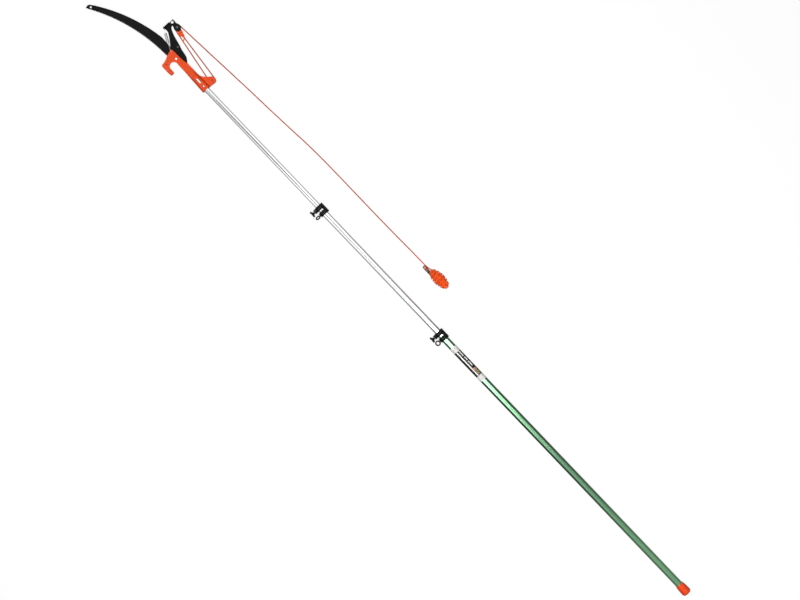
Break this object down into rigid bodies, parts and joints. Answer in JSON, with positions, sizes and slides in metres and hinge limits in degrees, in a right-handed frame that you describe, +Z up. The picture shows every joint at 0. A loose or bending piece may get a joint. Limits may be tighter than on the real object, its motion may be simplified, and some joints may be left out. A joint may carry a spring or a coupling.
{
  "type": "tree pruner pole",
  "caption": "Telescopic pole pruner with a curved saw, a hooked bypass cutter pulled by a rope tackle, clamped sliding tubes, an end cap and the free rope's hank.",
  "frame": {"origin": "centre of the end cap's flat butt face, on the pole's axis", "axes": "+X along the pole from the butt to the head, +Z up from the surface that the pole lies on and to the front of the head, +Y to the side of the hook and of the saw's teeth"},
  "size_m": [2.9143, 0.254, 0.0334],
  "materials": {
    "green_metal": "metallic lacquer",
    "orange_plastic": "satin",
    "orange_paint": "satin powder coat",
    "label_film": "printed film",
    "black_gloss": "gloss",
    "black_plastic": "moulded",
    "grey_plastic": "moulded",
    "tab_plastic": "moulded",
    "brass": "turned",
    "bright_steel": "zinc plated",
    "dark_steel": "blackened",
    "tube_aluminium": "drawn, clear anodised",
    "black_coat": "low-friction coating",
    "orange_rope": "braided"
  },
  "bodies": {
    "outer_pole": {"outer_tube": "green_metal", "end_cap": "orange_plastic", "pole_label": "label_film", "lower_clamp_sleeve": "black_gloss", "lower_clamp_inserts": "brass"},
    "lower_wing_screw": {"lower_wing_knob": "black_gloss", "lower_wing_stud": "bright_steel"},
    "lower_eye": {"lower_eye_screw": "dark_steel"},
    "middle_pole": {"middle_tube": "tube_aluminium", "middle_guide_bush": "grey_plastic", "upper_clamp_sleeve": "black_gloss", "upper_clamp_inserts": "brass"},
    "upper_wing_screw": {"upper_wing_knob": "black_gloss", "upper_wing_stud": "bright_steel"},
    "upper_eye": {"upper_eye_screw": "dark_steel"},
    "upper_pole": {"upper_tube": "tube_aluminium", "upper_guide_bush": "grey_plastic", "head_body": "orange_paint", "head_screws": "bright_steel", "saw_blade": "black_coat", "saw_screws": "dark_steel", "pivot_bolt": "bright_steel", "pivot_nut": "bright_steel", "lower_sheave_pin": "dark_steel", "spring_pin": "orange_paint", "return_spring": "bright_steel", "lower_rope_wrap": "orange_rope", "becket_strand": "orange_rope", "lift_strand": "orange_rope", "pull_rope": "orange_rope", "rope_hank": "orange_rope", "cord_tab": "tab_plastic"},
    "lever": {"lever_plate": "black_coat", "cutting_blade": "black_coat", "blade_rivets": "dark_steel"},
    "pulley_block": {"block_cheeks": "black_coat", "block_washers": "bright_steel", "block_eyelet": "bright_steel", "upper_sheave_pin": "dark_steel", "becket_pin": "dark_steel", "rope_knot": "orange_rope", "upper_rope_wrap": "orange_rope"},
    "upper_pulley": {"upper_sheave": "black_plastic"},
    "lower_pulley": {"lower_sheave": "black_plastic"}
  },
  "joints": [
    {"name": "middle_tube_slide", "type": "slide", "parent": "outer_pole", "child": "middle_pole", "axis": [1, 0, 0], "range_m": [-0.55, 0.48]},
    {"name": "upper_tube_slide", "type": "slide", "parent": "middle_pole", "child": "upper_pole", "axis": [1, 0, 0], "range_m": [-0.52, 0.48]},
    {"name": "lower_wing_turn", "type": "hinge", "parent": "outer_pole", "child": "lower_wing_screw", "pos_m": [1.24788, 0.02, 0], "axis": [0, 1, 0], "continuous": true},
    {"name": "lower_eye_turn", "type": "hinge", "parent": "outer_pole", "child": "lower_eye", "pos_m": [1.22612, 0.02, 0], "axis": [0, 1, 0], "continuous": true},
    {"name": "upper_wing_turn", "type": "hinge", "parent": "middle_pole", "child": "upper_wing_screw", "pos_m": [1.84987, 0.02, 0], "axis": [0, 1, 0], "continuous": true},
    {"name": "upper_eye_turn", "type": "hinge", "parent": "middle_pole", "child": "upper_eye", "pos_m": [1.82812, 0.02, 0], "axis": [0, 1, 0], "continuous": true},
    {"name": "lever_pivot", "type": "hinge", "parent": "upper_pole", "child": "lever", "pos_m": [2.566, 0.003, 0], "axis": [0, 0, -1], "range_deg": [0, 80], "stiffness_Nm_per_rad": 0.9, "springref_deg": -28.65, "deforming": ["return_spring", "becket_strand", "lift_strand", "pull_rope"]},
    {"name": "pulley_block_swivel", "type": "hinge", "parent": "lever", "child": "pulley_block", "pos_m": [2.6689, -0.075, 0], "axis": [0, 0, -1], "range_deg": [-46, 0]},
    {"name": "upper_sheave_spin", "type": "hinge", "parent": "pulley_block", "child": "upper_pulley", "pos_m": [2.6446, -0.0753, 0], "axis": [0, 0, -1], "continuous": true},
    {"name": "lower_sheave_spin", "type": "hinge", "parent": "upper_pole", "child": "lower_pulley", "pos_m": [2.4274, -0.0368, 0], "axis": [0, 0, -1], "continuous": true}
  ],
  "couplings": [
    {"joint": "pulley_block_swivel", "follows": "lever_pivot", "ratio": -0.57},
    {"joint": "upper_sheave_spin", "follows": "lever_pivot", "ratio": 18.2},
    {"joint": "lower_sheave_spin", "follows": "lever_pivot", "ratio": 9.3}
  ]
}
